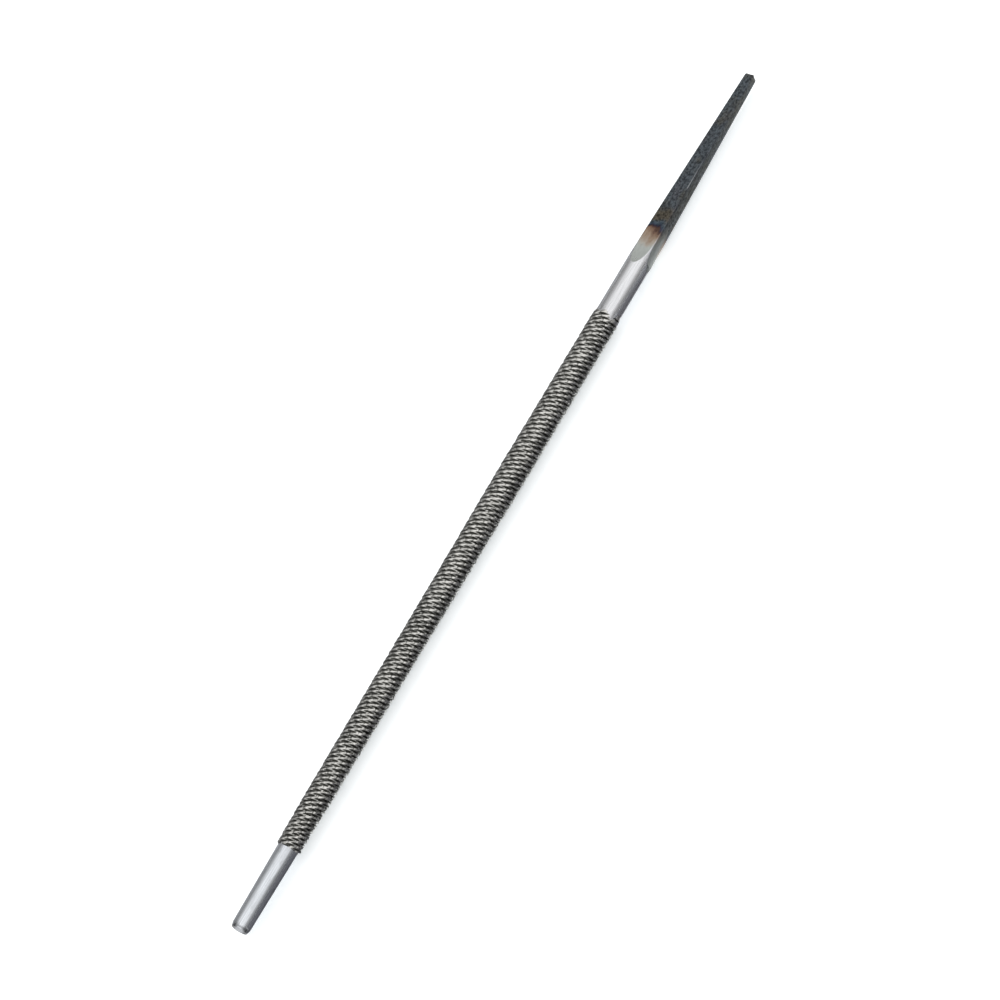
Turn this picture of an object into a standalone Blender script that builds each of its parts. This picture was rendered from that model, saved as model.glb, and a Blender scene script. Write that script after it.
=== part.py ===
"""Round hand file without a handle, lying along X with its tip towards +X.

The file is forged and cut from one bar of tool steel. It is built here as its
five named sections, which meet face to face on planes square to the axis: the
plain tip, the toothed taper, the toothed body, the round heel and the square
tapered tang.

All sections are written on the file's own axis. A distance along the file is
counted from the end face of the tip towards the tang, and an angle round it
is counted from the top of the file towards +Y. Lengths are in metres.
"""

import math

import bmesh
import bpy

# Plain tip: a round taper that carries no teeth
TIP_LENGTH = 0.02245
TIP_END_RADIUS = 0.00233
TIP_CHAMFER_LENGTH = 0.0011
TIP_CHAMFER_DEPTH = 0.00027

# Toothed length: its taper thickens in three steps, and its body thins a little to the heel
CUT_START_RADIUS = 0.00262
FIRST_TEETH_LENGTH = 0.0149
SLOW_TAPER_LENGTH = 0.0620
LAST_TAPER_LENGTH = 0.0360
FRONT_BODY_LENGTH = 0.0240
REAR_BODY_LENGTH = 0.0240
CREST_START_RADIUS = 0.00315
CREST_FRONT_RADIUS = 0.00341
CREST_MIDDLE_RADIUS = 0.00364
CREST_FULL_RADIUS = 0.00389
CREST_REAR_RADIUS = 0.00381
CREST_END_RADIUS = 0.00376

# Heel: plain and round
HEEL_RADIUS = 0.00331
HEEL_LENGTH = 0.0160

# Teeth: the root lies a tooth's height below the crest
TOOTH_PITCH = 0.00139
TOOTH_HEIGHT = 0.00075
CREST_DIP = 0.00010
ROOT_LIFT = 0.00020
STEEP_FACE_SHARE = 0.25
CUT_ROWS = 23
RIDGE_STARTS = 7

# Tang: a square taper whose flats run out into the round heel
TANG_LENGTH = 0.0622
TANG_ROOT_HALF_WIDTH = 0.00249
TANG_END_HALF_WIDTH = 0.00123
TANG_RUN_IN_LENGTH = 0.0052
TANG_END_CHAMFER_LENGTH = 0.0006
TANG_END_CHAMFER_DEPTH = 0.00025

# Fineness of the round sections
SMOOTH_SIDES = 2 * CUT_ROWS
TANG_SIDES = 48
RUN_IN_STEPS = 8
CREASE_ANGLE = math.radians(25)

# Stations along the file, counted from the end face of the tip
CUT_START = TIP_LENGTH
SLOW_TAPER_START = CUT_START + FIRST_TEETH_LENGTH
LAST_TAPER_START = SLOW_TAPER_START + SLOW_TAPER_LENGTH
TAPER_END = LAST_TAPER_START + LAST_TAPER_LENGTH
REAR_BODY_START = TAPER_END + FRONT_BODY_LENGTH
CUT_END = REAR_BODY_START + REAR_BODY_LENGTH
HEEL_END = CUT_END + HEEL_LENGTH
FILE_LENGTH = HEEL_END + TANG_LENGTH


def place(station, radius, angle):
    """A point at a station along the file, at a radius and an angle round it."""
    return (FILE_LENGTH / 2 - station, radius * math.sin(angle), radius * math.cos(angle))


def crest_radius(station):
    """Radius over the crests: straight from each place where it is named to the next."""
    profile = (
        (CUT_START, CREST_START_RADIUS),
        (SLOW_TAPER_START, CREST_FRONT_RADIUS),
        (LAST_TAPER_START, CREST_MIDDLE_RADIUS),
        (TAPER_END, CREST_FULL_RADIUS),
        (REAR_BODY_START, CREST_REAR_RADIUS),
        (CUT_END, CREST_END_RADIUS),
    )
    for (start, radius), (end, end_radius) in zip(profile, profile[1:]):
        if station < end:
            break
    return radius + (end_radius - radius) * (station - start) / (end - start)


def faded_to_ends(station, radius):
    """The radius, drawn in to the plain tip's or the heel's at the ends of the cut."""
    to_nearest_end = min(station - CUT_START, CUT_END - station)
    share = min(max(to_nearest_end / TOOTH_PITCH - STEEP_FACE_SHARE, 0), 1)
    plain = CUT_START_RADIUS if station < TAPER_END else HEEL_RADIUS
    return plain + (radius - plain) * share


def tang_half_width(station):
    """Half the tang's width across flats: a straight taper with a curved run-in."""
    along = station - HEEL_END
    taper = TANG_ROOT_HALF_WIDTH + (TANG_END_HALF_WIDTH - TANG_ROOT_HALF_WIDTH) * along / TANG_LENGTH
    short = max(1 - along / TANG_RUN_IN_LENGTH, 0)
    return taper + (HEEL_RADIUS - TANG_ROOT_HALF_WIDTH) * short ** 2


def steel(name, colour, roughness):
    """A metal material for one of the file's sections."""
    material = bpy.data.materials.new(name)
    material.use_nodes = True
    shader = material.node_tree.nodes["Principled BSDF"]
    shader.inputs["Base Color"].default_value = (*colour, 1)
    shader.inputs["Metallic"].default_value = 1
    shader.inputs["Roughness"].default_value = roughness
    return material


def section(name, mesh_builder, material, parent):
    """Turn a closed bmesh into a named, smooth shaded object on the file's axis."""
    bmesh.ops.recalc_face_normals(mesh_builder, faces=mesh_builder.faces)
    mesh = bpy.data.meshes.new(name)
    mesh_builder.to_mesh(mesh)
    mesh_builder.free()
    mesh.shade_smooth()
    mesh.set_sharp_from_angle(angle=CREASE_ANGLE)
    mesh.materials.append(material)
    piece = bpy.data.objects.new(name, mesh)
    piece.parent = parent
    bpy.context.scene.collection.objects.link(piece)
    return piece


def lofted(stations, sides, radius_at):
    """A closed solid through rings at the stations, with a flat cap at each end."""
    solid = bmesh.new()
    rings = []
    for station in stations:
        angles = [math.tau * side / sides for side in range(sides)]
        rings.append([solid.verts.new(place(station, radius_at(station, a), a)) for a in angles])
    for ring, following in zip(rings, rings[1:]):
        for side in range(sides):
            after = (side + 1) % sides
            solid.faces.new((ring[side], ring[after], following[after], following[side]))
    solid.faces.new(rings[0])
    solid.faces.new(rings[-1])
    return solid


def plain_tip():
    """Round tip: a flat end face, a chamfer and a slight taper up to the teeth."""
    def radius_at(station, angle):
        if station < TIP_CHAMFER_LENGTH:
            return TIP_END_RADIUS - TIP_CHAMFER_DEPTH
        share = (station - TIP_CHAMFER_LENGTH) / (TIP_LENGTH - TIP_CHAMFER_LENGTH)
        return TIP_END_RADIUS + (CUT_START_RADIUS - TIP_END_RADIUS) * share
    return lofted((0, TIP_CHAMFER_LENGTH, TIP_LENGTH), SMOOTH_SIDES, radius_at)


def tooth_corner(ridge, row, on_crest):
    """One corner of the teeth, on the crest of a ridge or at the root before it.

    The ridges wind round the bar, advancing RIDGE_STARTS pitches a turn. Chisel
    cuts lie on every second row of each ridge, and deepen it there; between
    them, where two cuts meet end to end, the crest dips and the root is shallow.
    """
    station = CUT_START + TOOTH_PITCH * (ridge + RIDGE_STARTS * row / CUT_ROWS)
    between_cuts = (ridge + row) % 2
    if on_crest:
        below_crest = CREST_DIP * between_cuts
    else:
        station -= TOOTH_PITCH * STEEP_FACE_SHARE
        below_crest = TOOTH_HEIGHT - ROOT_LIFT * between_cuts
    radius = faded_to_ends(station, crest_radius(station) - below_crest)
    return place(station, radius, math.tau * row / CUT_ROWS)


def trim(solid, station, keep_towards_tip):
    """Cut the solid square at a station, drop one side and close the cut flat."""
    cut_x = place(station, 0, 0)[0]
    outward = -1 if keep_towards_tip else 1
    cut = bmesh.ops.bisect_plane(
        solid,
        geom=solid.verts[:] + solid.edges[:] + solid.faces[:],
        plane_co=(cut_x, 0, 0),
        plane_no=(outward, 0, 0),
        clear_outer=True,
    )
    rim = [item for item in cut["geom_cut"] if isinstance(item, bmesh.types.BMEdge)]
    for edge in rim:
        for corner in edge.verts:
            corner.co.x = cut_x
    bmesh.ops.contextual_create(solid, geom=rim)


def toothed(start, end):
    """Winding ridges of teeth between two stations, cut square at both of them.

    The ridges are laid on a slanted grid that closes on itself after one turn,
    RIDGE_STARTS ridges further on, so the grid starts and ends that far outside
    the section and is then trimmed.
    """
    solid = bmesh.new()
    first = math.floor((start - CUT_START) / TOOTH_PITCH) - RIDGE_STARTS - 1
    last = math.ceil((end - CUT_START) / TOOTH_PITCH) + 1
    corners = {}
    for ridge in range(first, last + 1):
        for row in range(CUT_ROWS):
            for on_crest in (False, True):
                corner = solid.verts.new(tooth_corner(ridge, row, on_crest))
                corners[ridge, row, on_crest] = corner

    def corner_at(ridge, row, on_crest):
        turn, row_in_turn = divmod(row, CUT_ROWS)
        return corners.get((ridge + turn * RIDGE_STARTS, row_in_turn, on_crest))

    def strip(ridge, on_crest, next_ridge):
        for row in range(CUT_ROWS):
            face = (
                corner_at(ridge, row, on_crest),
                corner_at(ridge, row + 1, on_crest),
                corner_at(next_ridge, row + 1, not on_crest),
                corner_at(next_ridge, row, not on_crest),
            )
            if all(face):
                solid.faces.new(face)

    for ridge in range(first, last + 1):
        strip(ridge, False, ridge)
        strip(ridge, True, ridge + 1)
    trim(solid, start, keep_towards_tip=False)
    trim(solid, end, keep_towards_tip=True)
    return solid


def heel():
    """Plain round stretch between the last tooth and the tang."""
    return lofted((CUT_END, HEEL_END), SMOOTH_SIDES, lambda station, angle: HEEL_RADIUS)


def tang():
    """Square taper whose four flats start as thumb-shaped ends on the round bar."""
    end_face = FILE_LENGTH
    end_chamfer = end_face - TANG_END_CHAMFER_LENGTH
    taper_slope = (TANG_ROOT_HALF_WIDTH - TANG_END_HALF_WIDTH) / TANG_LENGTH
    sharp_half_width = HEEL_RADIUS * math.cos(math.pi / 4)
    corners_sharp = HEEL_END + max(
        (TANG_ROOT_HALF_WIDTH - sharp_half_width) / taper_slope, TANG_RUN_IN_LENGTH)

    def radius_at(station, angle):
        half_width = tang_half_width(station)
        if station == end_face:
            half_width -= TANG_END_CHAMFER_DEPTH
        across = max(abs(math.cos(angle)), abs(math.sin(angle)))
        return min(HEEL_RADIUS, half_width / across)

    run_in = [HEEL_END + TANG_RUN_IN_LENGTH * step / RUN_IN_STEPS for step in range(RUN_IN_STEPS + 1)]
    return lofted((*run_in, corners_sharp, end_chamfer, end_face), TANG_SIDES, radius_at)


def main():
    for leftover in list(bpy.data.objects):
        bpy.data.objects.remove(leftover)
    axis = bpy.data.objects.new("file_axis", None)
    bpy.context.scene.collection.objects.link(axis)
    section("plain_tip", plain_tip(), steel("satin_steel", (0.58, 0.60, 0.62), 0.32), axis)
    taper = section("toothed_taper", toothed(CUT_START, TAPER_END),
                    steel("cut_taper_steel", (0.30, 0.30, 0.28), 0.45), axis)
    body = section("toothed_body", toothed(TAPER_END, CUT_END),
                   steel("cut_body_steel", (0.30, 0.30, 0.28), 0.45), axis)
    section("heel", heel(), steel("polished_steel", (0.62, 0.63, 0.66), 0.26), axis)
    section("tang", tang(), steel("scaled_steel", (0.10, 0.11, 0.13), 0.55), axis)
    axis.location.z = -min(corner.co.z for piece in (taper, body) for corner in piece.data.vertices)


main()
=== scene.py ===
"""A bare round file: the visible steel of one bar, and the pale studio it lies in.

Laid out as an add-on and run as a script. All lengths are in metres, in the
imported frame: the file lies along X with its tip towards +X. A station is the
distance from the end face of the tip towards the tang, and an angle round the
file is counted from its top towards +Y.
"""

import math

import bpy
import numpy as np
from bpy.props import FloatProperty, FloatVectorProperty, IntProperty, PointerProperty
from mathutils import Matrix, Vector


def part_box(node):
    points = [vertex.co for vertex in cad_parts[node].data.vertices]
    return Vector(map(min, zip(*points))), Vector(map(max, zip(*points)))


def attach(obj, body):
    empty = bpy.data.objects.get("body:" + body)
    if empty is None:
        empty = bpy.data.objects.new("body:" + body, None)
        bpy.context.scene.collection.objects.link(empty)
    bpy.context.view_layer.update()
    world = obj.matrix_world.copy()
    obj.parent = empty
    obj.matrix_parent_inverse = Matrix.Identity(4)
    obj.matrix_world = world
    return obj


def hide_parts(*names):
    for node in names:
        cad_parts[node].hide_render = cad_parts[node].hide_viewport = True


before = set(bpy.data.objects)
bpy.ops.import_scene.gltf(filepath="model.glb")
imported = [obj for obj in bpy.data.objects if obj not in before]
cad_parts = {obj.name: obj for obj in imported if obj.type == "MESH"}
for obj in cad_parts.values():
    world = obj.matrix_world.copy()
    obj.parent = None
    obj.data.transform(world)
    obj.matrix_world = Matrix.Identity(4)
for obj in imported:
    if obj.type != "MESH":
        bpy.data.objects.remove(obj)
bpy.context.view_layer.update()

bl_info = {
    "name": "Round file",
    "version": (1, 0, 0),
    "blender": (4, 5, 0),
    "location": "3D View > Sidebar > Round File",
    "description": "Makes the visible steel of a round file, and a studio round it",
    "category": "Add Mesh",
}

# Places along the file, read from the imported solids
TIP_LOW, TIP_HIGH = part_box("plain_tip")
TAPER_LOW, TAPER_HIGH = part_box("toothed_taper")
BODY_LOW, BODY_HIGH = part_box("toothed_body")
HEEL_LOW, HEEL_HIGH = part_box("heel")
TANG_LOW, TANG_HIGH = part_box("tang")
AXIS_HEIGHT = (HEEL_LOW.z + HEEL_HIGH.z) / 2
HEEL_RADIUS = (HEEL_HIGH.z - HEEL_LOW.z) / 2
CUT_START_RADIUS = (TIP_HIGH.z - TIP_LOW.z) / 2
TIP_X = TIP_HIGH.x
CUT_START = TIP_X - TAPER_HIGH.x
TAPER_END = TIP_X - TAPER_LOW.x
CUT_END = TIP_X - BODY_LOW.x
HEEL_END = TIP_X - HEEL_LOW.x
FILE_END = TIP_X - TANG_LOW.x

# Chisel cuts lie where two waves over the surface are both at a whole number.
# Each wave has a count per pitch along the file and a count per turn round it.
WAVE_PER_PITCH = np.array((0.4845, 0.5155))
WAVE_PER_TURN = np.array((-15.0, 8.0))
ROWS_PER_TURN = int(WAVE_PER_TURN[1] - WAVE_PER_TURN[0])
RIDGE_STARTS = int(-WAVE_PER_TURN.sum())

# Every section has the same corners round the file, so the sections meet without a step
COLUMNS = 8 * ROWS_PER_TURN
ANGLES = math.tau * np.arange(COLUMNS) / COLUMNS

# The angle round the file that faces the camera in the photo
PHOTO_SIDE = math.radians(30)

# Radius over the crests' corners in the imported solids, at stations along the cut.
# Between two corners the solids are flat, so the visible teeth are a little smaller.
CREST_STATIONS = (0.02245, 0.03735, 0.09935, 0.13535, 0.15935, 0.18335)
CREST_RADII = (0.00315, 0.00341, 0.00364, 0.00389, 0.00381, 0.00376)
CREST_SHARE = 0.995


class ToothSettings(bpy.types.PropertyGroup):
    pitch: FloatProperty(
        name="Pitch", description="Distance between two ridges along the file",
        default=0.00139, min=0.0005, max=0.003, unit="LENGTH", precision=5)
    root_depth: FloatProperty(
        name="Root depth", description="How far a chisel cut reaches below the blank",
        default=0.00056, min=0, max=0.001, unit="LENGTH", precision=5)
    crest_rise: FloatProperty(
        name="Crest rise", description="How far the metal that a cut throws up stands above the blank",
        default=0.00018, min=0, max=0.001, unit="LENGTH", precision=5)
    steep_angle: FloatProperty(
        name="Cutting face", description="Slope of a tooth's face towards the tip",
        default=math.radians(70), min=0.5, max=1.5, subtype="ANGLE")
    back_angle: FloatProperty(
        name="Back", description="Slope of a tooth's back towards the tang",
        default=math.radians(55), min=0.1, max=1.2, subtype="ANGLE")
    land_angle: FloatProperty(
        name="Land", description="Slope of the narrow land behind each crest",
        default=math.radians(9), min=0, max=0.8, subtype="ANGLE")
    lean: FloatProperty(
        name="Lean", description="How far a chisel cut runs along the file for each length round it",
        default=0.22, min=-1, max=1)
    cut_half_angle: FloatProperty(
        name="Half a cut", description="Angle round the file from a cut's middle to its end",
        default=math.radians(19), min=0.1, max=0.6, subtype="ANGLE")
    unevenness: FloatProperty(
        name="Unevenness", description="How far single cuts stray in place and depth",
        default=0.00005, min=0, max=0.0002, unit="LENGTH", precision=5)
    steps_per_pitch: IntProperty(
        name="Steps", description="Rings of mesh in one pitch", default=12, min=6, max=24)


class SteelSettings(bpy.types.PropertyGroup):
    satin: FloatVectorProperty(
        name="Tip", description="Ground steel of the plain tip",
        default=(0.79, 0.82, 0.86), subtype="COLOR", min=0, max=1)
    # Crests, flanks and gullets are lit and shaded copies of one steel: painted highlight on the crests,
    # painted shade on the flanks and in the gullets
    crest: FloatVectorProperty(
        name="Crests", description="Bright steel along the crests",
        default=(0.79, 0.78, 0.745), subtype="COLOR", min=0, max=1)
    flank: FloatVectorProperty(
        name="Flanks", description="Dull steel on the backs of the teeth",
        default=(0.160, 0.160, 0.147), subtype="COLOR", min=0, max=1)
    gullet: FloatVectorProperty(
        name="Gullets", description="Dark steel at the roots of the teeth",
        default=(0.062, 0.062, 0.055), subtype="COLOR", min=0, max=1)
    polished: FloatVectorProperty(
        name="Heel", description="Polished steel of the heel",
        default=(0.84, 0.845, 0.865), subtype="COLOR", min=0, max=1)
    ground: FloatVectorProperty(
        name="Flats", description="Ground steel where the tang's flats begin",
        default=(0.60, 0.63, 0.60), subtype="COLOR", min=0, max=1)
    scale: FloatVectorProperty(
        name="Scale", description="Dark forge scale on the tang",
        default=(0.150, 0.173, 0.194), subtype="COLOR", min=0, max=1)


class StudioSettings(bpy.types.PropertyGroup):
    distance: FloatProperty(
        name="Distance", description="From the camera to the point that it aims at",
        default=0.847, min=0.2, max=5, unit="LENGTH")
    recession: FloatProperty(
        name="Recession", description="How far the file slants away from the picture plane",
        default=math.radians(20), min=0, max=1.5, subtype="ANGLE")
    view_round: FloatProperty(
        name="View round the file", description="Angle round the file that faces the camera",
        default=PHOTO_SIDE, min=-3.2, max=3.2, subtype="ANGLE")
    slant: FloatProperty(
        name="Slant", description="Slope of the file in the picture, tang upwards",
        default=math.radians(59.07), min=-3.2, max=3.2, subtype="ANGLE")
    focal: FloatProperty(
        name="Focal length", description="In millimetres, on a 36 mm sensor",
        default=123.7, min=20, max=400)
    key_power: FloatProperty(
        name="Key", description="Power of the large lamp, in watts", default=3.0, min=0, max=200)
    room_light: FloatProperty(
        name="Room", description="Brightness of the white room", default=1.0, min=0, max=3)


def surface_point(station, radius, angle):
    """Points at stations along the file, at radii and angles round it, as an array of corners."""
    station, radius, angle = np.broadcast_arrays(station, radius, angle)
    return np.stack(
        (TIP_X - station, radius * np.sin(angle), AXIS_HEIGHT + radius * np.cos(angle)), axis=-1)


def over_crests(station):
    """Radius over the highest crests, straight from each named place to the next."""
    return CREST_SHARE * np.interp(station, CREST_STATIONS, CREST_RADII)


# How far the bar takes to reach its full radius at the tip's end of the cut and at the heel's
STEP_LENGTHS = (0.0005, 0.0021)


def blank_radius(station, teeth):
    """The bar's radius between the teeth, a crest's rise below the line over the crests.

    At both ends of the cut it runs down to the plain steel beside it, along a
    smooth step.
    """
    from_end = np.minimum((station - CUT_START) / STEP_LENGTHS[0], (CUT_END - station) / STEP_LENGTHS[1])
    share = smooth_step(from_end)
    plain = np.where(station < TAPER_END, CUT_START_RADIUS, HEEL_RADIUS)
    return plain + (over_crests(station) - teeth.crest_rise - plain) * share


def steel_piece(name, points, triangles, rims, node, material, marks=None):
    """A named closed mesh from corner points and triangles, capped flat inside each rim of corners.

    marks holds one number for each corner, under the name that the material reads it by.
    """
    mesh = bpy.data.meshes.new(name)
    faces = triangles.tolist() + [list(rim) for rim in rims]
    mesh.from_pydata(points.tolist(), [], faces)
    smooth = np.ones(len(faces), dtype=bool)
    smooth[len(triangles):] = False
    mesh.polygons.foreach_set("use_smooth", smooth)
    edges = np.empty(len(mesh.loops), dtype=np.int32)
    mesh.loops.foreach_get("edge_index", edges)
    on_rim = np.zeros(len(mesh.edges), dtype=bool)
    on_rim[edges[3 * len(triangles):]] = True
    mesh.attributes.new("sharp_edge", "BOOLEAN", "EDGE").data.foreach_set("value", on_rim)
    for mark, values in (marks or {}).items():
        attribute = mesh.attributes.new(mark, "FLOAT", "POINT")
        attribute.data.foreach_set("value", values.astype(np.float32))
    mesh.materials.append(material)
    mesh.update()
    piece = bpy.data.objects.new(name, mesh)
    bpy.context.scene.collection.objects.link(piece)
    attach(piece, "root")
    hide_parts(node)
    return piece


def ring_triangles(rings, columns):
    """Two triangles for each cell of a grid of rings that closes on itself round the file."""
    ring, column = np.meshgrid(np.arange(rings - 1), np.arange(columns), indexing="ij")
    after = (column + 1) % columns
    here, beside = ring * columns + column, ring * columns + after
    below, across = here + columns, beside + columns
    cells = np.stack((here, beside, across, here, across, below), axis=-1)
    return cells.reshape(-1, 3)


def turned_piece(name, stations, radii, node, material, marks=None):
    """A closed piece through a ring of corners at each station: radii has a row for each ring."""
    points = surface_point(stations[:, None], radii, ANGLES)
    rings = len(points)
    rims = (np.arange(COLUMNS)[::-1], np.arange(COLUMNS) + (rings - 1) * COLUMNS)
    return steel_piece(name, points.reshape(-1, 3), ring_triangles(rings, COLUMNS), rims,
                       node, material, marks)


# The teeth


def scatter(first, second, salt):
    """A repeatable number from -1 to 1 for each pair of whole numbers: the fraction of a large sine."""
    wave = np.sin(first * 12.9898 + second * 78.233 + salt * 37.719) * 43758.5453
    return 2 * (wave - np.floor(wave)) - 1


def smooth_step(value):
    """0 below 0, 1 above 1, and between them an S-shaped cubic."""
    share = np.clip(value, 0, 1)
    return share * share * (3 - 2 * share)


# Steps from a place's own cell of the two waves to the cells whose cuts can reach it
NEAR_CELLS = (-1, 0, 1, 2)


def cuts_near(station, angle, pitch):
    """Each chisel cut that can reach a place, with the wave lattice solved for where its middle lies.

    Gives how far the place is behind the middle along the file and aside from it
    round the file, the cut's number in its row, and the row's number.
    """
    along, turn = (station - CUT_START) / pitch, angle / math.tau
    first_wave, second_wave = (per_pitch * along + per_turn * turn
                               for per_pitch, per_turn in zip(WAVE_PER_PITCH, WAVE_PER_TURN))
    to_place = np.linalg.inv(np.stack((WAVE_PER_PITCH, WAVE_PER_TURN), axis=-1))
    for first_step in NEAR_CELLS:
        for second_step in NEAR_CELLS:
            first = np.floor(first_wave) + first_step
            second = np.floor(second_wave) + second_step
            past_first, past_second = first_wave - first, second_wave - second
            behind = pitch * (to_place[0, 0] * past_first + to_place[0, 1] * past_second)
            aside = math.tau * (to_place[1, 0] * past_first + to_place[1, 1] * past_second)
            row = np.mod(second - first, ROWS_PER_TURN)
            turns = (second - first - row) / ROWS_PER_TURN
            yield behind, aside, first - WAVE_PER_TURN[0] * turns, row


# In pitches: how far before the start the first cuts lie, and how far before the end
# the last cuts do, with the most that this strays from row to row
FIRST_CUT = 0.15
LAST_CUT, LAST_CUT_STRAY = 1.4, 0.5
# The greatest angle round the file from a cut's middle to where it still cuts, and the
# share of half a cut's angle up to which it throws up a burr
CUT_REACH = 0.7
BURR_REACH = 1.1
# Slope of the burr's front, towards the tip
BURR_FRONT = 0.8

# Shares of a tooth's height: where backs and cutting faces get a painted highlight at the
# ends of a cut, how much lower it starts at its middle, how softly the highlight begins,
# and from where the painted glint along the edge shows
SHEEN_BACK, SHEEN_FACE = 0.94, 1.18
SHEEN_LOWER, SHEEN_SOFTNESS = 0.68, 0.20
GLINT_FROM = 0.4
# Half the width of the painted glint along a crest's edge, and its brightness at the
# ends of a cut with what its middle adds
GLINT_WIDTH = 0.00007
GLINT_BRIGHTNESS = (0.25, 0.50)
# How much the painted highlight strays in size from cut to cut
SHEEN_STRAY = 0.45
# Brightness that height alone gives, which paints shade low in the gullets, the height
# where it is full on the backs, and the brightness that the painted highlight adds on
# backs and on cutting faces
BY_HEIGHT, FULL_HEIGHT = 0.30, 0.6
BY_SHEEN_BACK, BY_SHEEN_FACE = 0.70, 0.62
# Pitches from either end of the cut within which uncut steel is plain
PLAIN_REACH = 2


def toothed_radius(station, angle, teeth):
    """Radius of the cut surface, and marks for its steel: its painted light and shade, and where it is
    plain.

    Every cut is a groove with a straight floor, square to the radius at its
    middle, so on the round bar it is deep in its middle and runs out at both
    ends. From the floor the surface rises steeply towards the tang, which is
    the cutting face, and less steeply towards the tip, which is the back of the
    tooth before it. The cut also throws up a burr above the blank on its tang
    side, with a narrow land behind its crest. The surface is the lowest groove
    wall, and never higher than the highest burr.

    Painted brightness is a share of the height over the roots, which paints
    shade into the gullets, plus a smooth step of that height, which paints a
    highlight near the crests. The step comes lower down at the middle of a cut
    than at its ends, and higher up on the cutting faces than on the backs. On
    the backs a bell-shaped line along each crest's edge is a painted glint.
    Steel that no cut reaches at both ends of the teeth is plain.
    """
    blank = blank_radius(station, teeth)
    steep, gentle = math.tan(teeth.steep_angle), math.tan(teeth.back_angle)
    land_slope = math.tan(teeth.land_angle)
    height = teeth.root_depth + teeth.crest_rise
    wall = np.full(station.shape, np.inf)
    on_face = np.zeros(station.shape, dtype=bool)
    burr = blank - height
    from_edge = np.full(station.shape, np.inf)
    lens_here = np.zeros(station.shape)
    for behind, aside, number, row in cuts_near(station, angle, teeth.pitch):
        middle = station - behind
        place_stray, depth_stray = (teeth.unevenness * scatter(number, row, salt) for salt in (1, 2))
        last_cut = CUT_END - (LAST_CUT + LAST_CUT_STRAY * scatter(row, 0, 4)) * teeth.pitch
        cut_here = ((middle > CUT_START - FIRST_CUT * teeth.pitch) & (middle < last_cut)
                    & (abs(aside) < CUT_REACH))

        tangent = np.tan(np.clip(aside, -1, 1))
        behind = behind + 2 * place_stray - teeth.lean * blank * tangent
        floor = (blank - teeth.root_depth + depth_stray) * np.sqrt(1 + tangent ** 2)
        side = floor + np.where(behind > 0, behind * steep, -behind * gentle)
        lower = cut_here & (side < wall)
        on_face = np.where(lower, behind > 0, on_face)
        wall = np.where(lower, side, wall)

        lens = np.clip(1 - (aside / teeth.cut_half_angle) ** 2, 0, 1)
        past_crest = behind - height / steep
        thrown_up = (blank + teeth.crest_rise * lens + depth_stray
                     - np.where(past_crest > 0, land_slope * past_crest, -BURR_FRONT * past_crest))
        near = cut_here & (abs(aside) < BURR_REACH * teeth.cut_half_angle)
        higher = near & (thrown_up > burr)
        from_edge = np.where(higher, past_crest, from_edge)
        lens_here = np.where(higher, lens * (1 + SHEEN_STRAY * scatter(number, row, 3)), lens_here)
        burr = np.where(higher, thrown_up, burr)
    uncut = (burr < blank) & (wall > blank)
    burr = np.maximum(burr, blank)
    radius = np.minimum(np.minimum(wall, burr), over_crests(station))

    over_root = np.clip((radius - blank + teeth.root_depth) / height, 0, 1)
    # Painted highlight near the crests: a smooth step of the height, lower at a cut's middle
    sheen_on_back, sheen_on_face = (smooth_step((over_root - threshold + SHEEN_LOWER * lens_here) / SHEEN_SOFTNESS)
                            for threshold in (SHEEN_BACK, SHEEN_FACE))
    # Painted glint: a bright line along each crest's edge
    edge = np.exp(-((from_edge - GLINT_WIDTH) / GLINT_WIDTH) ** 2) * (over_root > GLINT_FROM)
    edge = edge * (GLINT_BRIGHTNESS[0] + GLINT_BRIGHTNESS[1] * np.clip(lens_here, 0, 1))
    # Painted light and shade: darker low down in the gullets, brighter near the crests
    on_back = BY_HEIGHT * np.clip(over_root / FULL_HEIGHT, 0, 1) + BY_SHEEN_BACK * np.maximum(sheen_on_back, edge)
    painted_light = np.where(on_face & (wall < burr), BY_HEIGHT * over_root + BY_SHEEN_FACE * sheen_on_face, on_back)
    from_end = np.minimum(station - CUT_START, CUT_END - station) / teeth.pitch
    return radius, {"painted_brightness": painted_light, "plain": (uncut & (from_end < PLAIN_REACH)).astype(float)}


# Where the rings of mesh lie in a pitch: close together from the root to the crest, then wider
RING_ORDER = (0, 0.58, 0.83, 1)
RING_PLACES = (-0.12, 0.30, 0.60, 0.88)


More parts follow.
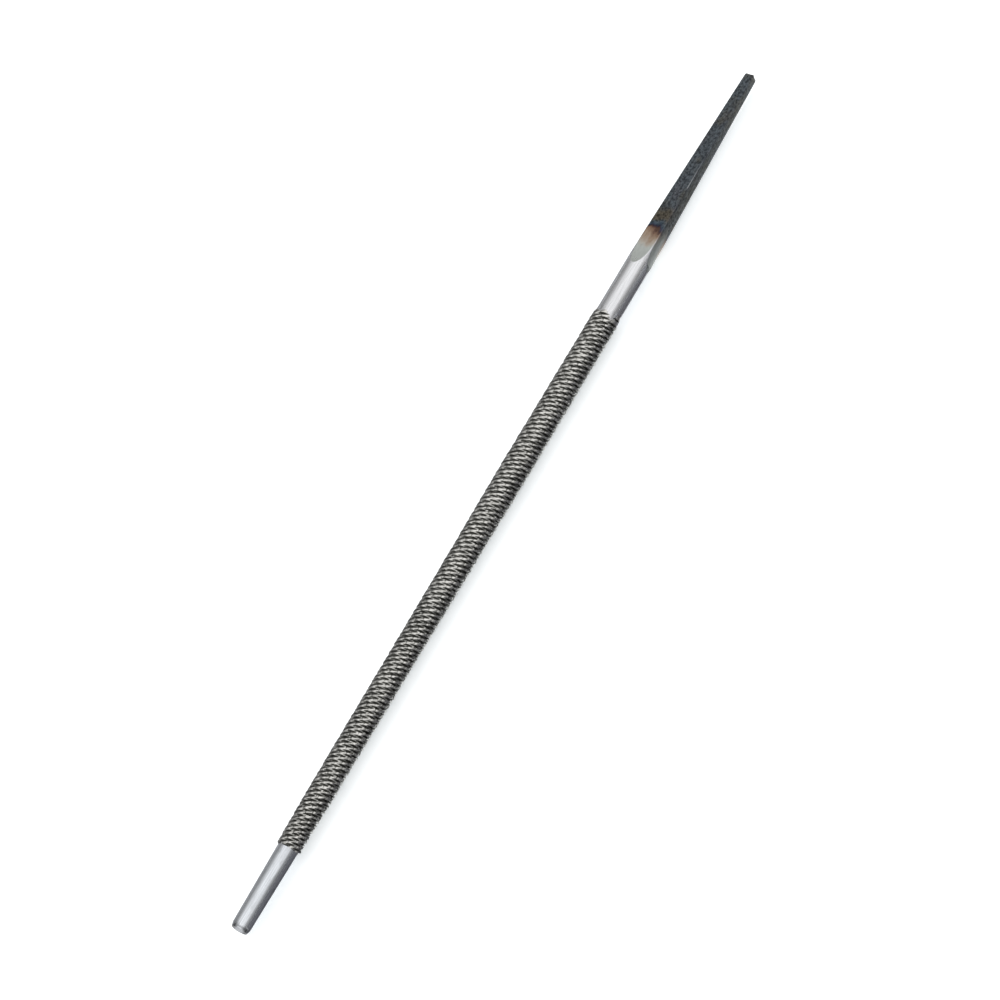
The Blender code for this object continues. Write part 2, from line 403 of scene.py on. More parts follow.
def slanted_grid(start, end, teeth):
    """Stations and angles of a grid whose rings follow the winding ridges between two planes.

    A corner's station is its ring's place in the pitch, plus RIDGE_STARTS
    pitches for each turn. In each column the last corner outside a plane is
    moved on to it, corners further out are dropped, and cells are rejoined
    after one turn, that many ridges further on.
    """
    steps = teeth.steps_per_pitch
    share = np.interp(np.arange(steps) / steps, RING_ORDER, RING_PLACES)
    per_turn = RIDGE_STARTS * steps
    start_pitch = (start - CUT_START) / teeth.pitch
    end_pitch = (end - CUT_START) / teeth.pitch
    first_ring = steps * (math.floor(start_pitch) - 1) - per_turn
    last_ring = steps * (math.ceil(end_pitch) + 2)
    ring = np.arange(first_ring, last_ring)
    column = np.arange(COLUMNS)
    place = (ring // steps) + share[ring % steps]
    pitches = place[:, None] + RIDGE_STARTS * column / COLUMNS
    low = np.maximum((pitches < start_pitch).sum(axis=0) - 1, 0)
    high = (pitches <= end_pitch).sum(axis=0)
    count = np.arange(len(ring))
    rows = np.clip(count[:, None], low, high)
    used = rows == count[:, None]
    number = np.full(pitches.shape, -1)
    number[used] = np.arange(used.sum())
    index = np.take_along_axis(number, rows, axis=0)
    stations = np.clip(CUT_START + pitches * teeth.pitch, start, end)
    next_index = np.empty_like(index)
    next_index[:, :-1] = index[:, 1:]
    wrapped_rows = np.clip(count + per_turn, 0, len(ring) - 1)
    next_index[:, -1] = index[wrapped_rows, 0]
    here, beside = index[:-1], next_index[:-1]
    below, across = index[1:], next_index[1:]
    cells = np.stack((here, beside, across, here, across, below), axis=-1).reshape(-1, 3)
    whole = ((cells[:, 0] != cells[:, 1]) & (cells[:, 1] != cells[:, 2])
             & (cells[:, 2] != cells[:, 0]))
    angles = np.broadcast_to(ANGLES, pitches.shape)
    rims = (number[low, column][::-1], number[high, column])
    return stations[used], angles[used], cells[whole], rims


class ROUND_FILE_OT_cut_teeth(bpy.types.Operator):
    """Makes the toothed body: winding ridges of chisel-cut teeth, in lengths that meet square"""
    bl_idname = "round_file.cut_teeth"
    bl_label = "Cut teeth"

    def execute(self, context):
        teeth = context.scene.round_file_teeth
        material = cut_steel(context.scene.round_file_steel)
        halfway = (CUT_START + TAPER_END) / 2
        lengths = (("front_teeth", CUT_START, halfway, "toothed_taper"),
                   ("middle_teeth", halfway, TAPER_END, "toothed_taper"),
                   ("rear_teeth", TAPER_END, CUT_END, "toothed_body"))
        for name, start, end, section in lengths:
            station, angle, triangles, rims = slanted_grid(start, end, teeth)
            radius, marks = toothed_radius(station, angle, teeth)
            points = surface_point(station, radius, angle)
            steel_piece(name, points, triangles, rims, section, material, marks)
        return {"FINISHED"}


# The tip, the heel and the tang

TIP_CHAMFER = 0.0011
TIP_FACE_RADIUS = 0.00207
TIP_SHANK_RADIUS = 0.00237
# How far the end face's edge is rounded, and the face's rings as shares of its radius
TIP_EDGE = 0.0001
TIP_FACE_RINGS = np.array((0.30, 0.42, 0.52, 0.60, 0.67, 0.74, 0.81, 0.88))
# Length of the stretch behind the end face that has close rings
TIP_CLOSE_RINGS = 0.004


def tip_painted_shade(station, share, angle):
    """How dark the tip is painted with shade, from 0 to 1, as the greatest of five bell-shaped marks.

    share is the radius as a share of the end face's, and across is the same
    towards the right as seen from the camera's side, PHOTO_SIDE. All five marks
    are painted shade: a slight darkening of the end face's middle, its far edge,
    a line round the chamfer, and a blotch on each side of the end as seen from
    there. Each mark is a darkness times a bell over the station, and over the
    place round the tip where it doesn't go all round.
    """
    def bell(value, middle, width):
        return np.exp(-((value - middle) / width) ** 2)

    turned = np.mod(angle + math.pi, math.tau) - math.pi
    across = share * np.sin(angle - PHOTO_SIDE)
    on_face = bell(station, 0, 0.0001)
    face = 0.08 * on_face
    far_edge_shade = 0.90 * on_face * smooth_step((share - 0.62) / 0.25) * bell(
        turned, math.radians(-150), math.radians(75))
    shade_line = 0.50 * bell(station, 0.00045, 0.00028)
    left_shade = 0.88 * bell(station, 0, 0.0010) * bell(across, -0.80, 0.33)
    right_shade = 0.97 * bell(np.maximum(station - 0.0006, 0), 0, 0.0004) * bell(across, 0.68, 0.30)
    return np.max(np.stack(np.broadcast_arrays(face, far_edge_shade, shade_line, left_shade, right_shade)), axis=0)


class ROUND_FILE_OT_make_tip(bpy.types.Operator):
    """Makes the plain tip: a flat end face, a chamfer and a slight taper"""
    bl_idname = "round_file.make_tip"
    bl_label = "Make tip"

    def execute(self, context):
        face = TIP_FACE_RINGS * TIP_FACE_RADIUS
        part_edge = 0.3 * TIP_EDGE
        stations = np.concatenate((
            0 * face, (0, part_edge), np.linspace(TIP_EDGE, TIP_CHAMFER, 9),
            np.linspace(TIP_CHAMFER + TIP_EDGE, 2 * TIP_CHAMFER, 9),
            np.linspace(TIP_CLOSE_RINGS, CUT_START, 11)))
        radii = np.interp(stations, (TIP_EDGE, TIP_CHAMFER, CUT_START),
                          (TIP_FACE_RADIUS, TIP_SHANK_RADIUS, CUT_START_RADIUS))
        radii[:len(face) + 2] = *face, TIP_FACE_RADIUS - TIP_EDGE, TIP_FACE_RADIUS - part_edge
        radii = radii[:, None]
        # Painted shade on the tip's end, stored on the mesh for its steel to read
        painted_shade = tip_painted_shade(stations[:, None], radii / TIP_FACE_RADIUS, ANGLES)
        turned_piece("tip_steel", stations, radii, "plain_tip",
                     satin_steel(context.scene.round_file_steel), {"painted_shade": painted_shade.ravel()})
        return {"FINISHED"}


TANG_ROOT_HALF_WIDTH = 0.00249
TANG_END_HALF_WIDTH = 0.00123
FLATS_START = HEEL_END - 0.0018
FLATS_RUN_IN = 0.0070
CORNER_SHARPNESS = 60
# How deep a flat lies below the round bar where its own finish is full
FLAT_FINISH_DEPTH = 0.00004
# Half the angle that a corner's wear covers
CORNER_WEAR = math.radians(3.5)
# Length over which the tang's end is rounded, by how much, and where its rings lie in it
END_ROUND, END_DROP = 0.0006, 0.00035
END_RINGS = np.array((0.35, 0.65, 0.87, 1.0))
# Length of the tang's first stretch, which has close rings
TANG_CLOSE_RINGS = 0.012


def flats_radius(station, angle):
    """Radius of the bar with its four flats, and marks for its finishes, each from 0 to 1.

    The radius is the round bar's, or the flats' where they lie deeper. The flats
    taper straight, and start on the heel with a curved run-in. A power mean of
    the two directions across the flats eases the corners. The marks say where
    the flats are, which of them face sideways, and where the corners are.
    """
    along = np.maximum(station - HEEL_END, 0)
    length = FILE_END - HEEL_END
    half_width = TANG_ROOT_HALF_WIDTH + (TANG_END_HALF_WIDTH - TANG_ROOT_HALF_WIDTH) * along / length
    short = np.clip(1 - (station - FLATS_START) / FLATS_RUN_IN, 0, 1)
    half_width = half_width + (HEEL_RADIUS - TANG_ROOT_HALF_WIDTH) * short ** 2
    half_width = np.where(station > FLATS_START, half_width, HEEL_RADIUS)
    across = (np.abs(np.cos(angle)) ** CORNER_SHARPNESS
              + np.abs(np.sin(angle)) ** CORNER_SHARPNESS) ** (-1 / CORNER_SHARPNESS)
    flats = half_width * across
    from_corner = np.abs(np.mod(angle, math.pi / 2) - math.pi / 4)
    marks = {"flat": np.clip((HEEL_RADIUS - flats) / FLAT_FINISH_DEPTH, 0, 1),
             "sideways": np.clip(4 * (np.abs(np.sin(angle)) - 0.707), 0, 1),
             "corner": np.clip(1 - from_corner / CORNER_WEAR, 0, 1)}
    return np.minimum(HEEL_RADIUS, flats), {
        name: np.broadcast_to(values, flats.shape).ravel() for name, values in marks.items()}


class ROUND_FILE_OT_make_heel(bpy.types.Operator):
    """Makes the round heel between the last tooth and the tang, where the tang's flats begin"""
    bl_idname = "round_file.make_heel"
    bl_label = "Make heel"

    def execute(self, context):
        stations = np.concatenate((np.linspace(CUT_END, FLATS_START, 29),
                                   np.linspace(FLATS_START, HEEL_END, 15)[1:]))
        radii, marks = flats_radius(stations[:, None], ANGLES)
        turned_piece("heel_steel", stations, radii, "heel",
                     polished_steel(context.scene.round_file_steel), marks)
        return {"FINISHED"}


class ROUND_FILE_OT_forge_tang(bpy.types.Operator):
    """Makes the square tang: flats that start thumb-shaped on the heel and taper to a small end face"""
    bl_idname = "round_file.forge_tang"
    bl_label = "Forge tang"

    def execute(self, context):
        stations = np.concatenate((
            np.linspace(HEEL_END, HEEL_END + TANG_CLOSE_RINGS, 61),
            np.linspace(HEEL_END + TANG_CLOSE_RINGS, FILE_END - END_ROUND, 81)[1:],
            FILE_END - END_ROUND * (1 - END_RINGS)))
        radii, marks = flats_radius(stations[:, None], ANGLES)
        into_end = np.clip((stations - (FILE_END - END_ROUND)) / END_ROUND, 0, 1)[:, None]
        radii = radii - END_DROP * (1 - np.sqrt(1 - into_end ** 2 * 0.98))
        turned_piece("tang_steel", stations, radii, "tang",
                     scaled_steel(context.scene.round_file_steel), marks)
        return {"FINISHED"}


# Finishes


def new_material(name):
    """An empty node material with a Principled shader, and its tree."""
    material = bpy.data.materials.new(name)
    material.use_nodes = True
    tree = material.node_tree
    return material, tree, tree.nodes["Principled BSDF"]


def node(tree, kind, **settings):
    """A node of the given kind, with its settings."""
    made = tree.nodes.new(kind)
    for key, value in settings.items():
        setattr(made, key, value)
    return made


def link(tree, source, target):
    tree.links.new(source, target)


def ramp(tree, value, stops):
    """A colour ramp; each stop is a place and a colour, or a place and one number for a grey."""
    made = node(tree, "ShaderNodeValToRGB")
    elements = made.color_ramp.elements
    while len(elements) < len(stops):
        elements.new(0.5)
    for element, (position, colour) in zip(elements, stops):
        element.position = position
        element.color = (*((colour,) * 3 if np.isscalar(colour) else colour), 1)
    link(tree, value, made.inputs["Fac"])
    return made.outputs["Color"]


def mix(tree, factor, first, second, blend="MIX"):
    """The first colour, mixed with the second by a factor; each may be a socket or plain values."""
    made = node(tree, "ShaderNodeMix", data_type="RGBA", blend_type=blend)
    for target, source in zip((made.inputs["Factor"], made.inputs["A"], made.inputs["B"]),
                              (factor, first, second)):
        if isinstance(source, bpy.types.NodeSocket):
            link(tree, source, target)
        elif target.name == "Factor":
            target.default_value = source
        else:
            target.default_value = (*source, 1)
    return made.outputs["Result"]


def maths(tree, operation, *values):
    """A Math node; each value may be a socket or a number."""
    made = node(tree, "ShaderNodeMath", operation=operation)
    for target, source in zip(made.inputs, values):
        if isinstance(source, bpy.types.NodeSocket):
            link(tree, source, target)
        else:
            target.default_value = source
    return made.outputs["Value"]


def mark(tree, name):
    """A number stored on the mesh's corners."""
    return node(tree, "ShaderNodeAttribute", attribute_name=name).outputs["Fac"]


def strayed_by(tree, value, pattern_socket, reach):
    """The value, moved up or down by as much as half the reach where a pattern from 0 to 1 says so."""
    centred = maths(tree, "SUBTRACT", pattern_socket, 0.5)
    return maths(tree, "ADD", value, maths(tree, "MULTIPLY", centred, reach))


def share_along(tree, start, end):
    """How far a place lies along X from start to end, from 0 to 1, in Object coordinates."""
    position = node(tree, "ShaderNodeSeparateXYZ")
    link(tree, node(tree, "ShaderNodeTexCoord").outputs["Object"], position.inputs["Vector"])
    share = node(tree, "ShaderNodeMapRange")
    share.inputs["From Min"].default_value = start
    share.inputs["From Max"].default_value = end
    link(tree, position.outputs["X"], share.inputs["Value"])
    return share.outputs["Result"]


def pattern_group(name, title):
    """A noise pattern on Object coordinates, with its own scale along and across the file."""
    if name in bpy.data.node_groups:
        return bpy.data.node_groups[name]
    group = bpy.data.node_groups.new(name, "ShaderNodeTree")
    group.description = title
    for socket, default in (("Along", 100.0), ("Across", 100.0), ("Detail", 4.0), ("Contrast", 1.0)):
        made = group.interface.new_socket(socket, in_out="INPUT", socket_type="NodeSocketFloat")
        made.default_value = default
    group.interface.new_socket("Pattern", in_out="OUTPUT", socket_type="NodeSocketFloat")
    entry, leave = node(group, "NodeGroupInput"), node(group, "NodeGroupOutput")
    scales = node(group, "ShaderNodeCombineXYZ")
    for axis, socket in zip("XYZ", ("Along", "Across", "Across")):
        link(group, entry.outputs[socket], scales.inputs[axis])
    stretched = node(group, "ShaderNodeVectorMath", operation="MULTIPLY")
    link(group, node(group, "ShaderNodeTexCoord").outputs["Object"], stretched.inputs[0])
    link(group, scales.outputs["Vector"], stretched.inputs[1])
    noise = node(group, "ShaderNodeTexNoise")
    noise.inputs["Scale"].default_value = 1
    noise.inputs["Roughness"].default_value = 0.6
    link(group, stretched.outputs["Vector"], noise.inputs["Vector"])
    link(group, entry.outputs["Detail"], noise.inputs["Detail"])
    centred = maths(group, "SUBTRACT", noise.outputs["Fac"], 0.5)
    steeper = maths(group, "MULTIPLY", centred, entry.outputs["Contrast"])
    made = node(group, "ShaderNodeClamp")
    link(group, maths(group, "ADD", steeper, 0.5), made.inputs["Value"])
    link(group, made.outputs["Result"], leave.inputs["Pattern"])
    return group


def pattern(tree, along, across, detail=4.0, contrast=2.5):
    """Places the pattern group: equal scales give mottling, a small one along gives streaks."""
    made = node(tree, "ShaderNodeGroup")
    made.node_tree = pattern_group("steel_pattern", "Streaks or mottling in worked steel")
    for socket, value in (("Along", along), ("Across", across), ("Detail", detail), ("Contrast", contrast)):
        made.inputs[socket].default_value = value
    return made.outputs["Pattern"]


def raise_bumps(tree, shader, height, distance):
    """A Bump node from a height pattern, distance being its full height."""
    bump = node(tree, "ShaderNodeBump")
    bump.inputs["Distance"].default_value = distance
    link(tree, height, bump.inputs["Height"])
    link(tree, bump.outputs["Normal"], shader.inputs["Normal"])


def shade(colour, factor=1):
    """The colour made darker or lighter by a factor."""
    return tuple(np.minimum(np.array(colour) * factor, 1))


def varied(tree, colour, low, high, value):
    """A colour that a pattern makes darker and lighter, from one factor to the other."""
    return ramp(tree, value, ((0.1, shade(colour, low)), (0.9, shade(colour, high))))


def set_roughness(tree, shader, value, stops):
    """Roughness that follows a value, by the stops of a ramp."""
    link(tree, ramp(tree, value, stops), shader.inputs["Roughness"])


def new_steel(name):
    """An empty metal material: itself, its tree and its shader."""
    material, tree, shader = new_material(name)
    shader.inputs["Metallic"].default_value = 1
    return material, tree, shader


def satin_steel(steel):
    """Ground steel: fine streaks along the file and faint stains change its brightness, and painted shade
    darkens its end.
    """
    material, tree, shader = new_steel("satin_steel")
    streaks = pattern(tree, 110, 3600, detail=5)
    streaked = varied(tree, steel.satin, 0.84, 1.14, streaks)
    faint = ramp(tree, pattern(tree, 330, 900), ((0.55, 0.0), (0.95, 0.30)))
    dulled = mix(tree, faint, streaked, shade(steel.satin, 0.5))
    # Painted shade from the mesh darkens the tip's end towards near black
    with_painted_shade = mix(tree, mark(tree, "painted_shade"), dulled, shade(steel.satin, 0.06))
    link(tree, with_painted_shade, shader.inputs["Base Color"])
    set_roughness(tree, shader, streaks, ((0.1, 0.29), (0.9, 0.19)))
    raise_bumps(tree, shader, streaks, 0.000004)
    return material


def bare_steel(tree, steel):
    """The polished bar's colour, and the lengthwise streaks that vary it."""
    streaks = pattern(tree, 160, 4200, detail=5)
    return varied(tree, steel.polished, 0.88, 1.10, streaks), streaks


# Share of the upper flats' brightness on the flats that face sideways, where they begin: painted shade on
# the sides
SIDE_SHARE = 0.80


def polished_steel(steel):
    """Polished steel with faint lengthwise streaks, and ground steel where the flats begin, with painted
    shade on the flats that face sideways.
    """
    material, tree, shader = new_steel("polished_steel")
    bare, streaks = bare_steel(tree, steel)
    # The flats that face sideways are painted darker: painted shade
    ground = mix(tree, mark(tree, "sideways"), shade(steel.ground), shade(steel.ground, SIDE_SHARE))
    link(tree, mix(tree, mark(tree, "flat"), bare, ground), shader.inputs["Base Color"])
    set_roughness(tree, shader, streaks, ((0.1, 0.30), (0.9, 0.22)))
    raise_bumps(tree, shader, streaks, 0.000002)
    return material


def cut_steel(steel):
    """Teeth: painted shade in the gullets and on the flanks, and painted highlights on the crests, by the
    painted brightness on the mesh.
    """
    material, tree, shader = new_steel("cut_steel")
    speckle = pattern(tree, 2600, 2600, detail=3)
    painted_brightness = strayed_by(tree, mark(tree, "painted_brightness"), speckle, 0.16)
    halfway = shade((np.array(steel.crest) + np.array(steel.flank)) / 2)
    # Lit and shaded copies of one steel, by the painted brightness: painted shade in the gullets, painted
    # highlight on the crests
    painted_light = ramp(tree, painted_brightness, (
        (0.0, shade(steel.gullet)), (0.22, shade(steel.flank, 0.8)), (0.34, shade(steel.flank)),
        (0.62, halfway), (0.92, shade(steel.crest))))
    grime = ramp(tree, pattern(tree, 420, 620), ((0.35, 0.0), (0.9, 0.45)))
    grimy = mix(tree, grime, painted_light, shade(steel.flank, 1.1))
    bare, streaks = bare_steel(tree, steel)
    link(tree, mix(tree, mark(tree, "plain"), grimy, bare), shader.inputs["Base Color"])
    set_roughness(tree, shader, painted_brightness, ((0.1, 0.36), (0.9, 0.15)))
    raise_bumps(tree, shader, speckle, 0.000012)
    return material


# Stops along the tang, by share of its length: temper colours between ground steel and
# scale on the upper flats, and the stops of the flats that face sideways, which paint
# shade on them where the flats begin and light on them further along
TEMPER_COLOURS = (
    (0.088, (0.57, 0.51, 0.44)), (0.118, (0.43, 0.32, 0.24)), (0.140, (0.30, 0.19, 0.135)),
    (0.153, (0.13, 0.075, 0.060)), (0.163, (0.058, 0.048, 0.080)), (0.177, (0.090, 0.125, 0.170)),
    (0.196, (0.125, 0.155, 0.175)), (0.213, (0.170, 0.150, 0.118)), (0.245, (0.155, 0.138, 0.108)))
SIDE_COLOURS = (
    (0.10, (0.46, 0.48, 0.46)), (0.15, (0.38, 0.37, 0.34)), (0.19, (0.24, 0.25, 0.25)),
    (0.50, (0.21, 0.23, 0.23)), (1.0, (0.18, 0.195, 0.20)))
# Tints in patches of the scale
OLIVE = (0.165, 0.152, 0.115)
VIOLET = (0.185, 0.182, 0.205)
# How much the tang's corners are worn to bare steel, along its length
CORNER_WORN = ((0.10, 0.45), (0.16, 0.15), (0.36, 0.0), (0.385, 0.9), (0.45, 0.6), (0.52, 0.1), (1.0, 0.0))


def scaled_steel(steel):
    """Tang: temper colours on its flats that end in dark forge scale, and bright steel between them.

    Specks, tints and lengthwise streaks vary the scale, and its corners are worn in places.
    """
    material, tree, shader = new_steel("scaled_steel")
    along = share_along(tree, TIP_X - HEEL_END, TIP_X - FILE_END)
    strayed = strayed_by(tree, along, pattern(tree, 170, 330), 0.045)
    ground, dark = shade(steel.ground), shade(steel.scale)
    upper = ramp(tree, strayed, (
        (0.0, ground), (0.060, ground), *TEMPER_COLOURS, (0.280, dark), (1.0, dark)))
    # Painted light and shade on the flats that face sideways: darker where the flats begin, lighter further
    # along
    side = ramp(tree, strayed, ((0.0, shade(steel.ground, SIDE_SHARE)), *SIDE_COLOURS))
    sideways = mark(tree, "sideways")
    flats = mix(tree, sideways, upper, side)

    olive = ramp(tree, pattern(tree, 120, 260), ((0.50, 0.0), (0.80, 0.55)))
    tinted = mix(tree, olive, flats, OLIVE)
    violet = ramp(tree, pattern(tree, 95, 420, detail=3), ((0.60, 0.0), (0.88, 0.50)))
    tinted = mix(tree, violet, tinted, VIOLET)
    specks = pattern(tree, 1400, 1700, detail=5, contrast=5)
    speckled = ramp(tree, specks, ((0.0, 0.32), (0.5, 0.68), (1.0, 1.0)))
    tinted = mix(tree, 1.0, tinted, speckled, "MULTIPLY")
    drawn = ramp(tree, pattern(tree, 200, 2600, detail=4, contrast=3), ((0.1, 0.60), (0.9, 1.0)))
    streaked = mix(tree, ramp(tree, sideways, ((0.0, 0.25), (1.0, 0.80))), tinted, drawn, "MULTIPLY")

    on_scale = ramp(tree, strayed, ((0.12, 0.0), (0.20, 1.0)))
    scaled = mix(tree, on_scale, flats, streaked)
    worn = maths(tree, "MULTIPLY", mark(tree, "corner"), ramp(tree, strayed, CORNER_WORN))
    worn_flats = mix(tree, worn, scaled, shade(steel.polished, 0.75))
    bare, streaks = bare_steel(tree, steel)
    link(tree, mix(tree, mark(tree, "flat"), bare, worn_flats), shader.inputs["Base Color"])
    set_roughness(tree, shader, on_scale, ((0.0, 0.30), (1.0, 0.42)))
    raise_bumps(tree, shader, specks, 0.000025)
    return material


# The studio


FLOOR_HALF = 1.5
FLOOR_GLOW = 0.37
# The point that the camera aims at: its X, and how far right of the file's axis it lies in the picture
AIM_X, AIM_ASIDE = 0.005475, 0.00060

# The room's tone in reflections, by degrees round the file from straight above
ROOM_TONES = ((-110, 0.26), (-66, 0.27), (-52, 0.38), (-38, 0.55), (-24, 0.78), (-6, 0.94), (20, 1.0),
              (40, 0.94), (51, 0.76), (62, 0.45), (73, 0.31), (84, 0.20), (94, 0.15), (150, 0.14))

# Stations, and how far from the file's middle line the grey cards beside it begin
CARD_START = -0.0004
LEFT_STRIP = ((CARD_START, 0.0045), (CUT_START - 0.001, 0.0045), (CUT_START + 0.01, 0.0065),
              (CUT_END, 0.0078), (FILE_END + 0.05, 0.0085))
RIGHT_STRIP = ((CARD_START, 0.0021), (CUT_START - 0.001, 0.0021), (CUT_START + 0.01, 0.0047),
               (CUT_END - 0.01, 0.0050), (CUT_END + 0.001, 0.0040), (FILE_END + 0.05, 0.0034))
# Each side card's name, its side of the file, its inner edge, and its shades before and beside the tang
SIDE_CARDS = (("left_card", -1, LEFT_STRIP, (0.27, 0.27, 0.28), (0.30, 0.31, 0.32)),
              ("right_card", 1, RIGHT_STRIP, (0.12, 0.12, 0.13), (0.21, 0.22, 0.235)))
FRONT_SHADE = (0.52, 0.52, 0.53)
# How far the cards reach to the sides and forwards, and their height over the floor
CARD_SIDE, CARD_FRONT, CARD_HEIGHT = 0.6, 0.1, 0.0001
# The distances past the heel's end between which the side cards' shade changes
SHADE_CHANGE = (-0.005, 0.015)


def looked_at(tree):
    """1 for rays from the camera, from mirrors and through glass, which all see the same pale studio."""
    path = node(tree, "ShaderNodeLightPath")
    indirectly = maths(tree, "MAXIMUM", path.outputs["Is Glossy Ray"], path.outputs["Is Transmission Ray"])
    return maths(tree, "MAXIMUM", path.outputs["Is Camera Ray"], indirectly)


class ROUND_FILE_OT_set_stage(bpy.types.Operator):
    """Sets the pale floor, the grey cards, the white room, the lamp and the camera"""
    bl_idname = "round_file.set_stage"
    bl_label = "Set stage"

    def execute(self, context):
        studio = context.scene.round_file_studio
        self.lay_floor()
        self.lay_cards()
        self.paint_room(context.scene, studio)
        self.hang_lamp(studio)
        self.place_camera(context.scene, studio)
        context.scene.view_settings.view_transform = "Standard"
        return {"FINISHED"}

    def lay_floor(self):
        """A flat white sheet, on which the file leaves a faint cool shadow."""
        half = FLOOR_HALF
        material, tree, shader = new_material("floor_white")
        shader.inputs["Base Color"].default_value = (0.93, 0.93, 0.93, 1)
        shader.inputs["Roughness"].default_value = 1
        shader.inputs["Specular IOR Level"].default_value = 0
        shader.inputs["Emission Color"].default_value = (0.90, 0.97, 1, 1)
        link(tree, maths(tree, "MULTIPLY", looked_at(tree), FLOOR_GLOW), shader.inputs["Emission Strength"])
        self.lay_sheet("floor", ((-half, -half), (half, -half), (half, half), (-half, half)), 0, material)

    def lay_cards(self):
        """A grey card on each side of the file, which only its steel mirrors, so that its edges stay dark.

        The white floor shows between them, in a strip that is wider beside the
        teeth. A lighter card lies before the end face of the tip.
        """
        for name, side, strip, front_shade, tang_shade in SIDE_CARDS:
            inner = [(TIP_X - station, side * half_width) for station, half_width in strip]
            outer = [(x, side * CARD_SIDE) for x, edge in inner]
            self.lay_card(name, (inner + outer[::-1])[::-side], front_shade, tang_shade)
        start, end = TIP_X - CARD_START, TIP_X + CARD_FRONT
        corners = ((start, -CARD_SIDE), (end, -CARD_SIDE), (end, CARD_SIDE), (start, CARD_SIDE))
        self.lay_card("front_card", corners, FRONT_SHADE, FRONT_SHADE)

    def lay_card(self, name, corners, front_shade, tang_shade):
        """A matt card just over the floor, with one shade beside the tang and another before it."""
        material, tree, shader = new_material(name)
        shader.inputs["Roughness"].default_value = 1
        shader.inputs["Specular IOR Level"].default_value = 0
        start, end = (TIP_X - HEEL_END - past_heel for past_heel in SHADE_CHANGE)
        shade_here = mix(tree, share_along(tree, start, end), front_shade, tang_shade)
        link(tree, shade_here, shader.inputs["Base Color"])
        card = self.lay_sheet(name, corners, CARD_HEIGHT, material)
        card.visible_camera = card.visible_diffuse = card.visible_shadow = False

    def lay_sheet(self, name, corners, height, material):
        """A flat stage sheet with the given corners, seen from above anticlockwise."""
        mesh = bpy.data.meshes.new(name)
        mesh.from_pydata([(x, y, height) for x, y in corners], [], [range(len(corners))])
        mesh.materials.append(material)
        sheet = bpy.data.objects.new(name, mesh)
        bpy.context.scene.collection.objects.link(sheet)
        return sheet

    def paint_room(self, scene, studio):
        """A room that is white to the camera, and that steel mirrors as a bright ceiling over greyer walls.

        The mirrored tone goes by the direction round the file. Other rays get the
        room's light as it is set.
        """
        world = bpy.data.worlds.new("white_room")
        world.use_nodes = True
        tree = world.node_tree
        direction = node(tree, "ShaderNodeSeparateXYZ")
        link(tree, node(tree, "ShaderNodeTexCoord").outputs["Generated"], direction.inputs["Vector"])
        round_file = maths(tree, "ARCTAN2", direction.outputs["Y"], direction.outputs["Z"])
        turn = maths(tree, "MULTIPLY_ADD", round_file, 1 / math.tau, 0.5)
        walls = ramp(tree, turn, [(0.5 + degrees / 360, grey) for degrees, grey in ROOM_TONES])
        mirrored = node(tree, "ShaderNodeLightPath").outputs["Is Glossy Ray"]
        strength = node(tree, "ShaderNodeMapRange")
        strength.inputs["To Min"].default_value = studio.room_light
        link(tree, looked_at(tree), strength.inputs["Value"])
        background = tree.nodes["Background"]
        link(tree, mix(tree, mirrored, (1, 1, 1), walls), background.inputs["Color"])
        link(tree, strength.outputs["Result"], background.inputs["Strength"])
        scene.world = world

    def hang_lamp(self, studio):
        """One large soft lamp, up on the side away from the file's shadow, that no steel mirrors."""
        lamp = bpy.data.lights.new("key", "AREA")
        lamp.shape = "DISK"
        lamp.size = 0.5
        lamp.energy = studio.key_power
        key = bpy.data.objects.new("key", lamp)
        key.location = (0.15, -0.55, 0.85)
        key.rotation_euler = (-Vector(key.location)).to_track_quat("-Z", "Y").to_euler()
        key.visible_glossy = False
        bpy.context.scene.collection.objects.link(key)

    def place_camera(self, scene, studio):
        """Looks at the file from near its tip, turned so that the file slants up to the right."""
        turn, tilt = studio.view_round, studio.recession
        towards = Vector((math.sin(tilt), math.cos(tilt) * math.sin(turn), math.cos(tilt) * math.cos(turn)))
        along = Vector((-1, 0, 0))
        along = (along - along.dot(towards) * towards).normalized()
        across = along.cross(towards)
        right = math.cos(studio.slant) * along + math.sin(studio.slant) * across
        up = math.sin(studio.slant) * along - math.cos(studio.slant) * across
        aim = Vector((AIM_X, 0, AXIS_HEIGHT)) + AIM_ASIDE * across
        camera = bpy.data.objects.new("camera", bpy.data.cameras.new("camera"))
        camera.data.lens = studio.focal
        camera.data.sensor_width = 36
        turned = Matrix((right, up, towards)).transposed().to_4x4()
        camera.matrix_world = Matrix.Translation(aim + studio.distance * towards) @ turned
        scene.collection.objects.link(camera)
        scene.camera = camera


class ROUND_FILE_PT_panel(bpy.types.Panel):
    """Lists the sizes and the steps that make the file"""
    bl_idname = "ROUND_FILE_PT_panel"
    bl_label = "Round File"
    bl_space_type = "VIEW_3D"
    bl_region_type = "UI"
    bl_category = "Round File"

    def draw(self, context):
        for group in (context.scene.round_file_teeth, context.scene.round_file_steel,
                      context.scene.round_file_studio):
            box = self.layout.box()
            for name in group.bl_rna.properties.keys():
                if name not in ("rna_type", "name"):
                    box.prop(group, name)
        for step in STEPS:
            self.layout.operator(step.bl_idname)


GROUPS = {
    "round_file_teeth": ToothSettings,
    "round_file_steel": SteelSettings,
    "round_file_studio": StudioSettings,
}
STEPS = (ROUND_FILE_OT_make_tip, ROUND_FILE_OT_cut_teeth, ROUND_FILE_OT_make_heel,
         ROUND_FILE_OT_forge_tang, ROUND_FILE_OT_set_stage)


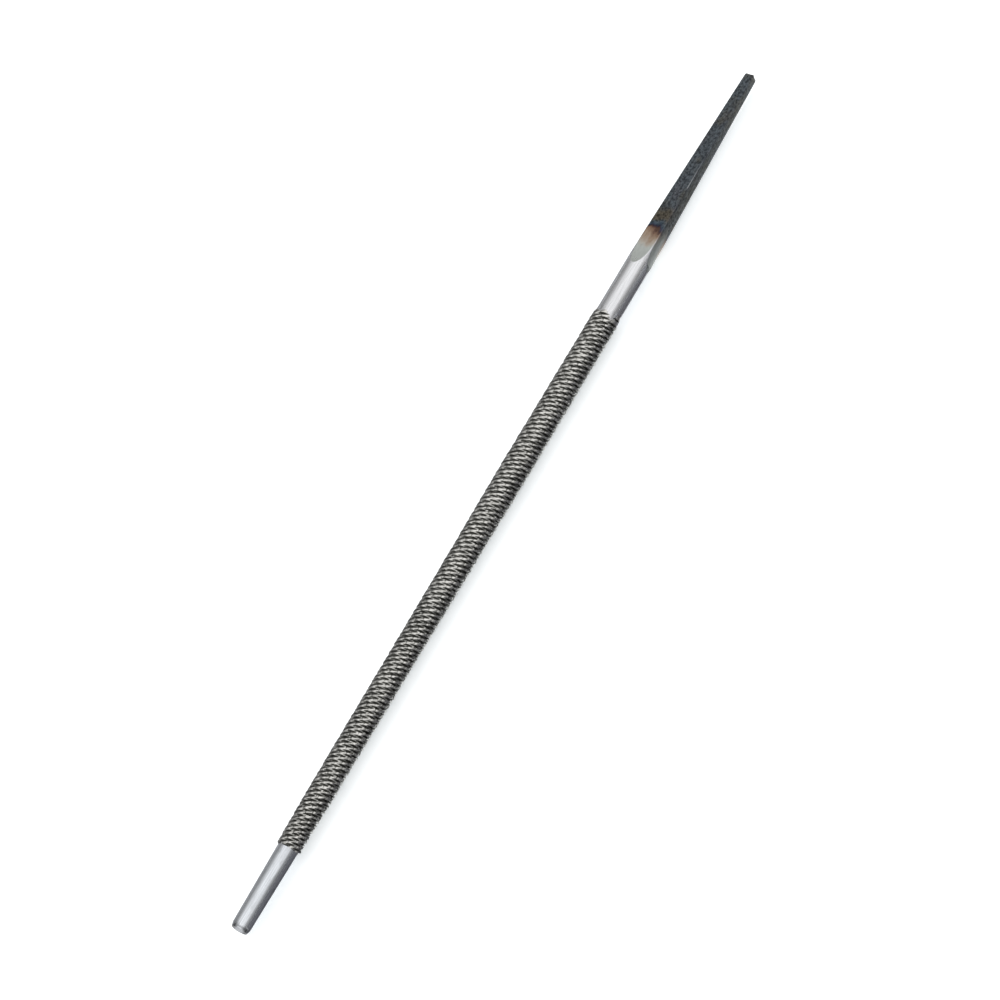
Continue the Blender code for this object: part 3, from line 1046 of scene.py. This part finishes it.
def register():
    for group in (*GROUPS.values(), *STEPS, ROUND_FILE_PT_panel):
        bpy.utils.register_class(group)
    for name, group in GROUPS.items():
        setattr(bpy.types.Scene, name, PointerProperty(type=group))


def unregister():
    for name in GROUPS:
        delattr(bpy.types.Scene, name)
    for group in (ROUND_FILE_PT_panel, *STEPS, *GROUPS.values()):
        bpy.utils.unregister_class(group)


def main():
    register()
    bpy.ops.round_file.set_stage()
    bpy.ops.round_file.make_tip()
    bpy.ops.round_file.cut_teeth()
    bpy.ops.round_file.make_heel()
    bpy.ops.round_file.forge_tang()


if __name__ == "__main__":
    main()
